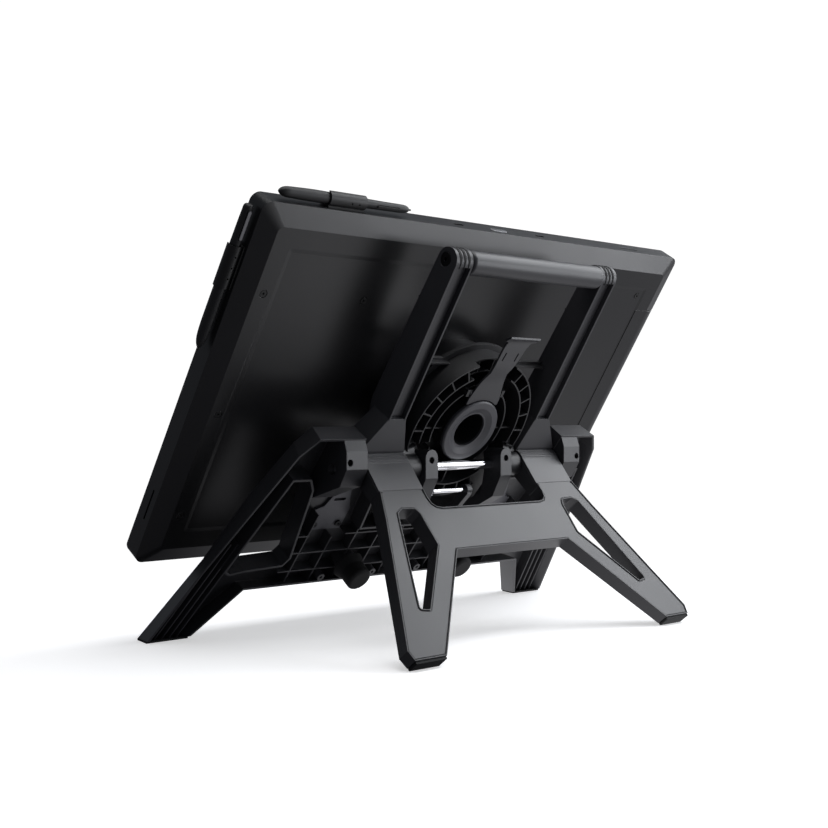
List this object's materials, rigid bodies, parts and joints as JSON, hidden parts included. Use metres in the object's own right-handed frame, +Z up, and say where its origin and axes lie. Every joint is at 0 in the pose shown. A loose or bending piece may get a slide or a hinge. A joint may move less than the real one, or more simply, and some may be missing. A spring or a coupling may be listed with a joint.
{
  "type": "pen drawing display on a folding stand",
  "caption": "Pen drawing display with a chamfered back, turned on a ring between channel arms and held by a folding leg stand, with clipped pens.",
  "frame": {"origin": "on the table, in the mid-plane of the stand, under the middle of its footprint", "axes": "+X to the user's right along the display, +Y away from the user, +Z up"},
  "size_m": [0.6516, 0.3252, 0.4407],
  "materials": {
    "shell_plastic": "fine satin texture",
    "frame_plastic": "fine matte texture, cast look",
    "arm_plastic": "satin",
    "dark_plastic": "matte",
    "steel": "turned",
    "chrome": "polished",
    "rubber": "matte",
    "glass": "etched anti-glare",
    "panel": "dark panel",
    "aluminium": "rolled sheet",
    "board": "solder mask",
    "black_screw": "black oxide",
    "pen_plastic": "soft touch"
  },
  "bodies": {
    "base": {"front_frame": "frame_plastic", "hinge_shaft": "chrome", "friction_washers": "dark_plastic", "tie_rod": "chrome", "rod_clips": "steel", "right_bracket": "steel", "left_bracket": "steel", "bracket_screws": "black_screw", "bumpers": "rubber", "front_feet": "rubber", "shoulder_screws": "black_screw"},
    "rear_legs": {"rear_frame": "frame_plastic", "hinge_caps": "arm_plastic", "rear_feet": "rubber"},
    "head": {"ring_carrier": "arm_plastic", "right_arm": "arm_plastic", "left_arm": "arm_plastic", "right_arm_insert": "arm_plastic", "left_arm_insert": "arm_plastic", "handle_tube": "arm_plastic", "handle_bolts": "black_screw", "slide_ring": "dark_plastic", "lever_pin": "steel"},
    "display": {"back_shell": "shell_plastic", "cover_glass": "glass", "lcd_panel": "panel", "backlight_unit": "aluminium", "digitizer_board": "board", "chassis_plate": "aluminium", "main_board": "board", "side_connectors": "steel", "back_screws": "black_screw", "turntable_drum": "shell_plastic", "turntable_screws": "steel", "hub_ring": "shell_plastic", "top_pen_holder": "dark_plastic", "side_pen_holder": "dark_plastic"},
    "lever": {"release_lever": "arm_plastic"},
    "power_key": {"power_button": "aluminium"},
    "bay_cover": {"port_cover": "shell_plastic"},
    "top_pen": {"top_pen_barrel": "pen_plastic", "top_pen_nib": "dark_plastic"},
    "top_pen_key": {"top_pen_switch": "dark_plastic"},
    "side_pen": {"side_pen_barrel": "pen_plastic", "side_pen_nib": "dark_plastic"},
    "side_pen_key": {"side_pen_switch": "dark_plastic"}
  },
  "joints": [
    {"name": "rear_leg_fold", "type": "hinge", "parent": "base", "child": "rear_legs", "pos_m": [0, 0.0108, 0.1775], "axis": [-1, 0, 0], "range_deg": [0, 50]},
    {"name": "tilt", "type": "hinge", "parent": "base", "child": "head", "pos_m": [0, 0.0108, 0.1775], "axis": [-1, 0, 0], "range_deg": [-4, 41]},
    {"name": "display_turn", "type": "hinge", "parent": "head", "child": "display", "pos_m": [0, -0.0497, 0.2644], "axis": [0, 0.8434, -0.5373], "range_deg": [-18, 18]},
    {"name": "release_lever", "type": "hinge", "parent": "head", "child": "lever", "pos_m": [0, 0.04881, 0.25618], "axis": [-1, 0, 0], "range_deg": [0, 8], "stiffness_Nm_per_rad": 0.6, "springref_deg": -8.59},
    {"name": "power_press", "type": "slide", "parent": "display", "child": "power_key", "axis": [0, -0.5373, -0.8434], "range_m": [0, 0.0012], "stiffness_N_per_m": 900, "springref_m": -0.0004},
    {"name": "cover_off", "type": "slide", "parent": "display", "child": "bay_cover", "axis": [-1, 0, 0], "range_m": [0, 0.06]},
    {"name": "top_pen_out", "type": "slide", "parent": "display", "child": "top_pen", "axis": [1, 0, 0], "range_m": [0, 0.17]},
    {"name": "top_pen_key_press", "type": "slide", "parent": "top_pen", "child": "top_pen_key", "axis": [0, -0.8434, 0.5373], "range_m": [0, 0.0006], "stiffness_N_per_m": 600, "springref_m": -0.0003},
    {"name": "side_pen_out", "type": "slide", "parent": "display", "child": "side_pen", "axis": [0, -0.5373, -0.8434], "range_m": [0, 0.16]},
    {"name": "side_pen_key_press", "type": "slide", "parent": "side_pen", "child": "side_pen_key", "axis": [0, -0.8434, 0.5373], "range_m": [0, 0.0006], "stiffness_N_per_m": 600, "springref_m": -0.0003}
  ]
}
